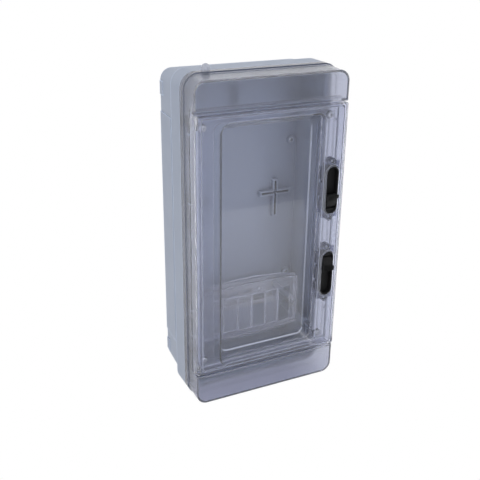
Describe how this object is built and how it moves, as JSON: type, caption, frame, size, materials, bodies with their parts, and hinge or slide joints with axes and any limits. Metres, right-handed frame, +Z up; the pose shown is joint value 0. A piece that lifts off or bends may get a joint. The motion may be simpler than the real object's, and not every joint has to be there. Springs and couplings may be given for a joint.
{
  "type": "electric meter box",
  "caption": "Wall-mounted electric meter box: grey moulded base, clear cover frame, hinged clear door with a dished window and black lever latches, module rail inside.",
  "frame": {"origin": "centre of the four wall holes, on the back face that lies on the wall", "axes": "+Z up, +Y into the wall, front and door towards -Y, +X to the right seen from the front"},
  "size_m": [0.1792, 0.105, 0.381],
  "materials": {
    "base_grey": "moulded, fine satin",
    "clear_plastic": "clear moulded polycarbonate, glossy",
    "latch_black": "moulded satin black",
    "seal_rubber": "soft grey seal",
    "zinc_steel": "zinc-plated"
  },
  "bodies": {
    "base": {"base_tub": "base_grey", "base_gasket": "seal_rubber", "cover_frame": "clear_plastic", "cover_screws": "zinc_steel", "seal_stud": "clear_plastic", "door_seal": "seal_rubber", "upper_hinge_pin": "zinc_steel", "lower_hinge_pin": "zinc_steel", "din_rail": "zinc_steel", "din_rail_screws": "zinc_steel", "breaker_cover": "clear_plastic", "breaker_cover_screws": "zinc_steel", "module_blanks": "clear_plastic"},
    "door": {"door": "clear_plastic", "upper_latch_case": "latch_black", "lower_latch_case": "latch_black", "upper_latch_pin": "zinc_steel", "lower_latch_pin": "zinc_steel", "upper_latch_frame": "clear_plastic", "lower_latch_frame": "clear_plastic", "latch_frame_screws": "zinc_steel"},
    "upper_latch": {"upper_latch_lever": "latch_black"},
    "lower_latch": {"lower_latch_lever": "latch_black"}
  },
  "joints": [
    {"name": "door_hinge", "type": "hinge", "parent": "base", "child": "door", "pos_m": [-0.0859, -0.0904, 0], "axis": [0, 0, -1], "range_deg": [0, 105]},
    {"name": "upper_latch_pivot", "type": "hinge", "parent": "door", "child": "upper_latch", "pos_m": [0.074, -0.095, 0.03829], "axis": [1, 0, 0], "range_deg": [0, 40]},
    {"name": "lower_latch_pivot", "type": "hinge", "parent": "door", "child": "lower_latch", "pos_m": [0.074, -0.095, -0.03439], "axis": [-1, 0, 0], "range_deg": [0, 40]}
  ]
}
